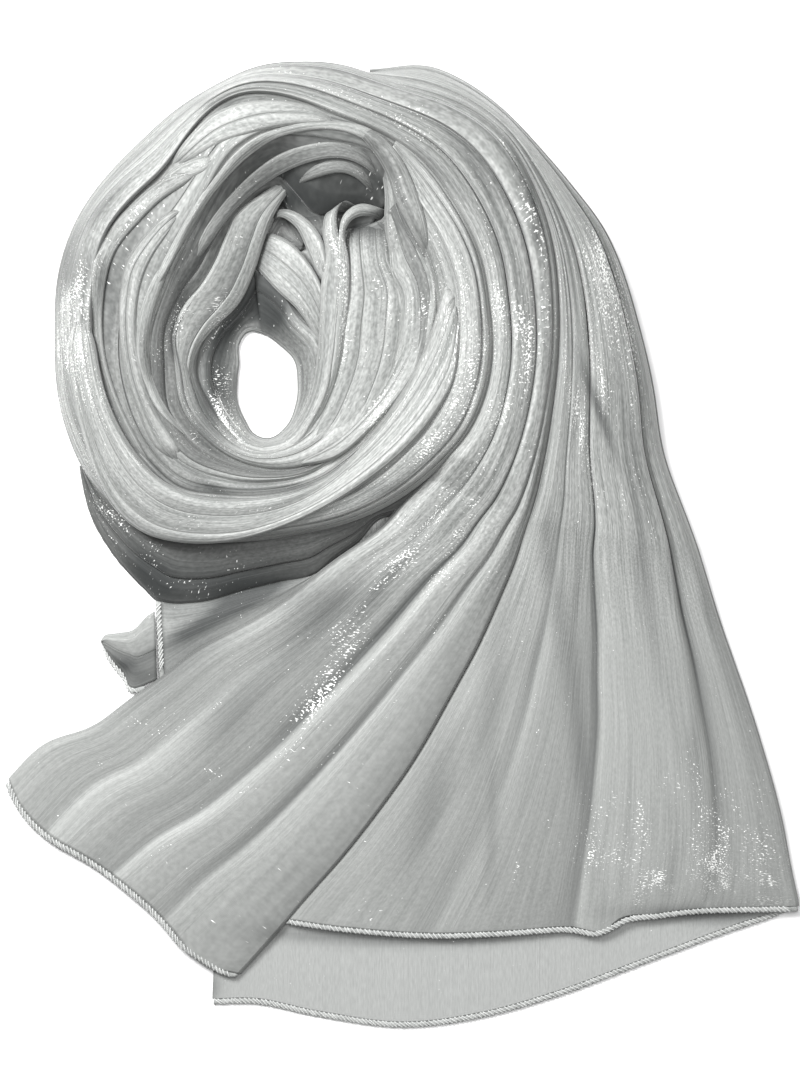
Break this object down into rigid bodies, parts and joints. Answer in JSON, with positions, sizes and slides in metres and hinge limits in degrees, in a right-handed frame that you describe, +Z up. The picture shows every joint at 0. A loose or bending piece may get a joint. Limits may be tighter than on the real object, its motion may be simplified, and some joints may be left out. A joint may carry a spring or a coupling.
{
  "type": "scarf",
  "caption": "Long sheer crinkled chiffon scarf laid flat, wound in a loose ring round a small hole, with fanned pleated tails and rolled hems; worn round the neck or shoulders.",
  "frame": {"origin": "middle of the scarf's outline, on the surface it lies on", "axes": "+X to the right of the ring, +Y from the tails to the ring, +Z up from the surface"},
  "size_m": [0.6362, 0.7706, 0.0641],
  "materials": {
    "silver_chiffon": "sheer silver-grey crinkle chiffon with a fine metallic thread, soft sheen",
    "rolled_hem": "narrow rolled hem overlocked in silver-grey thread"
  },
  "bodies": {
    "root": {"collar_rim": "silver_chiffon", "collar_leaf": "silver_chiffon", "hollow_fold": "silver_chiffon", "arch": "silver_chiffon", "inner_valley": "silver_chiffon", "main_band": "silver_chiffon", "outer_turn": "silver_chiffon", "side_folds": "silver_chiffon", "front_tail": "silver_chiffon", "right_tail": "silver_chiffon", "under_tail": "silver_chiffon", "lower_folds": "silver_chiffon", "front_flap": "silver_chiffon", "back_flap": "silver_chiffon", "hidden_layers": "silver_chiffon", "front_tail_hem": "rolled_hem", "right_tail_hem": "rolled_hem", "under_tail_hem": "rolled_hem", "front_flap_hem": "rolled_hem", "back_flap_hem": "rolled_hem"}
  },
  "joints": []
}
